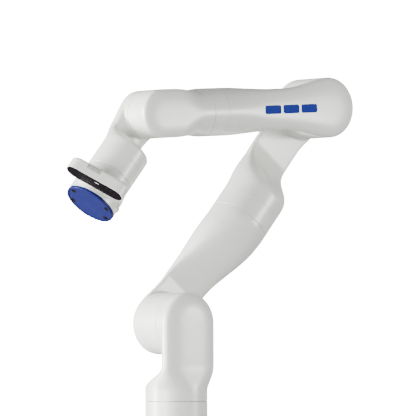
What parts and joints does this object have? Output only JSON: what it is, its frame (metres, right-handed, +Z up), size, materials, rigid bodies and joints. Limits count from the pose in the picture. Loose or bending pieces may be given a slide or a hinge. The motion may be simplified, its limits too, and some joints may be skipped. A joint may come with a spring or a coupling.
{
  "type": "robot arm",
  "caption": "Lightweight seven-joint collaborative robot arm with smooth off-white shells, ring-shaped actuators, an oval camera housing at the wrist and a blue cap on the tool face.",
  "frame": {"origin": "centre of the mounting face under the base plate, on the first joint's axis", "axes": "+Z up along the first joint's axis, +X towards the reach of the forearm, +Y to the shoulder's side"},
  "size_m": [0.5208, 0.1513, 0.6546],
  "materials": {
    "shell_white": "satin off-white coat",
    "ring_white": "satin off-white coat",
    "alloy": "machined",
    "steel": "ground",
    "windings": "laminations with copper",
    "blue": "moulded, light sheen",
    "black_screw": "black oxide",
    "panel_dark": "fine texture",
    "board": "solder mask",
    "window": "polished dark tint",
    "lens": "black with coated lenses",
    "light": "translucent",
    "button": "satin",
    "plate": "anodised"
  },
  "bodies": {
    "root": {"base_plate": "plate", "base_shell": "shell_white", "controller_board": "board", "connector_panel": "panel_dark", "power_inlet": "alloy", "stop_jack": "alloy", "network_jacks": "alloy", "usb_jacks": "alloy", "status_light": "light", "j1_housing": "ring_white", "j1_stator": "windings", "j1_bearing": "steel"},
    "shoulder": {"shoulder_shell": "shell_white", "j1_output": "steel", "j2_output": "steel"},
    "half_arm_1": {"half_arm_1_shell": "shell_white", "j2_housing": "ring_white", "j2_stator": "windings", "j2_bearing": "steel", "j3_output": "steel"},
    "half_arm_2": {"half_arm_2_shell": "shell_white", "j3_housing": "ring_white", "j3_stator": "windings", "j3_bearing": "steel", "j4_housing": "ring_white", "j4_stator": "windings", "j4_bearing": "steel"},
    "forearm": {"forearm_shell": "shell_white", "j4_output": "steel", "j5_housing": "ring_white", "j5_stator": "windings", "j5_bearing": "steel"},
    "wrist_1": {"wrist_1_shell": "shell_white", "j5_output": "steel", "j6_housing": "ring_white", "j6_stator": "windings", "j6_bearing": "steel"},
    "wrist_2": {"wrist_2_shell": "shell_white", "j6_output": "steel", "j7_housing": "ring_white", "j7_stator": "windings", "j7_bearing": "steel"},
    "bracelet": {"bracelet_shell": "shell_white", "j7_output": "steel", "tool_flange": "alloy", "interface_cap": "blue", "cap_screws": "black_screw", "vision_housing": "shell_white", "vision_window": "window", "camera_module": "lens"},
    "power_key": {"power_button": "button"},
    "wrist_key_a": {"wrist_button_a": "button"},
    "wrist_key_b": {"wrist_button_b": "button"},
    "rotor_1": {"j1_rotor": "steel"},
    "rotor_2": {"j2_rotor": "steel"},
    "rotor_3": {"j3_rotor": "steel"},
    "rotor_4": {"j4_rotor": "steel"},
    "rotor_5": {"j5_rotor": "steel"},
    "rotor_6": {"j6_rotor": "steel"},
    "rotor_7": {"j7_rotor": "steel"}
  },
  "joints": [
    {"name": "J1", "type": "hinge", "parent": "root", "child": "shoulder", "pos_m": [0, 0, 0.1564], "axis": [0, 0, 1], "continuous": true},
    {"name": "J2", "type": "hinge", "parent": "shoulder", "child": "half_arm_1", "pos_m": [0, -0.0054, 0.2848], "axis": [0, 1, 0], "range_deg": [-89.3, 115]},
    {"name": "J3", "type": "hinge", "parent": "half_arm_1", "child": "half_arm_2", "pos_m": [-0.13411, -0.0118, 0.44692], "axis": [-0.6374, 0, 0.7705], "continuous": true},
    {"name": "J4", "type": "hinge", "parent": "half_arm_2", "child": "forearm", "pos_m": [-0.26823, -0.0054, 0.60903], "axis": [0, 1, 0], "range_deg": [-280.7, 14.9]},
    {"name": "J5", "type": "hinge", "parent": "forearm", "child": "wrist_1", "pos_m": [-0.06017, 0.001, 0.59704], "axis": [0.9983, 0, -0.0576], "continuous": true},
    {"name": "J6", "type": "hinge", "parent": "wrist_1", "child": "wrist_2", "pos_m": [0.04555, 0.0007, 0.59094], "axis": [0, 1, 0], "range_deg": [-167.3, 73.3]},
    {"name": "J7", "type": "hinge", "parent": "wrist_2", "child": "bracelet", "pos_m": [0.1132, 0.0007, 0.50946], "axis": [0.6388, 0, -0.7694], "continuous": true},
    {"name": "rotor_1_spin", "type": "hinge", "parent": "root", "child": "rotor_1", "pos_m": [0, 0, 0.1564], "axis": [0, 0, 1], "continuous": true},
    {"name": "rotor_2_spin", "type": "hinge", "parent": "half_arm_1", "child": "rotor_2", "pos_m": [0, -0.0054, 0.2848], "axis": [0, 1, 0], "range_deg": [-8930, 11500]},
    {"name": "rotor_3_spin", "type": "hinge", "parent": "half_arm_2", "child": "rotor_3", "pos_m": [-0.13411, -0.0118, 0.44692], "axis": [-0.6374, 0, 0.7705], "continuous": true},
    {"name": "rotor_4_spin", "type": "hinge", "parent": "half_arm_2", "child": "rotor_4", "pos_m": [-0.26823, -0.0054, 0.60903], "axis": [0, 1, 0], "range_deg": [-28070, 1490]},
    {"name": "rotor_5_spin", "type": "hinge", "parent": "forearm", "child": "rotor_5", "pos_m": [-0.06017, 0.001, 0.59704], "axis": [0.9983, 0, -0.0576], "continuous": true},
    {"name": "rotor_6_spin", "type": "hinge", "parent": "wrist_1", "child": "rotor_6", "pos_m": [0.04555, 0.0007, 0.59094], "axis": [0, 1, 0], "range_deg": [-16730, 7330]},
    {"name": "rotor_7_spin", "type": "hinge", "parent": "wrist_2", "child": "rotor_7", "pos_m": [0.1132, 0.0007, 0.50946], "axis": [0.6388, 0, -0.7694], "continuous": true},
    {"name": "wrist_key_a_press", "type": "slide", "parent": "bracelet", "child": "wrist_key_a", "axis": [0.6643, -0.5045, 0.5515], "range_m": [0, 0.0008], "stiffness_N_per_m": 600, "springref_m": -0.0004},
    {"name": "wrist_key_b_press", "type": "slide", "parent": "bracelet", "child": "wrist_key_b", "axis": [0.4915, -0.7694, 0.408], "range_m": [0, 0.0008], "stiffness_N_per_m": 600, "springref_m": -0.0004},
    {"name": "power_key_press", "type": "slide", "parent": "root", "child": "power_key", "axis": [1, 0, 0], "range_m": [0, 0.0015], "stiffness_N_per_m": 400, "springref_m": -0.0008}
  ],
  "couplings": [
    {"joint": "rotor_1_spin", "follows": "J1", "ratio": 100},
    {"joint": "rotor_2_spin", "follows": "J2", "ratio": 100},
    {"joint": "rotor_3_spin", "follows": "J3", "ratio": 100},
    {"joint": "rotor_4_spin", "follows": "J4", "ratio": 100},
    {"joint": "rotor_5_spin", "follows": "J5", "ratio": 100},
    {"joint": "rotor_6_spin", "follows": "J6", "ratio": 100},
    {"joint": "rotor_7_spin", "follows": "J7", "ratio": 100}
  ]
}
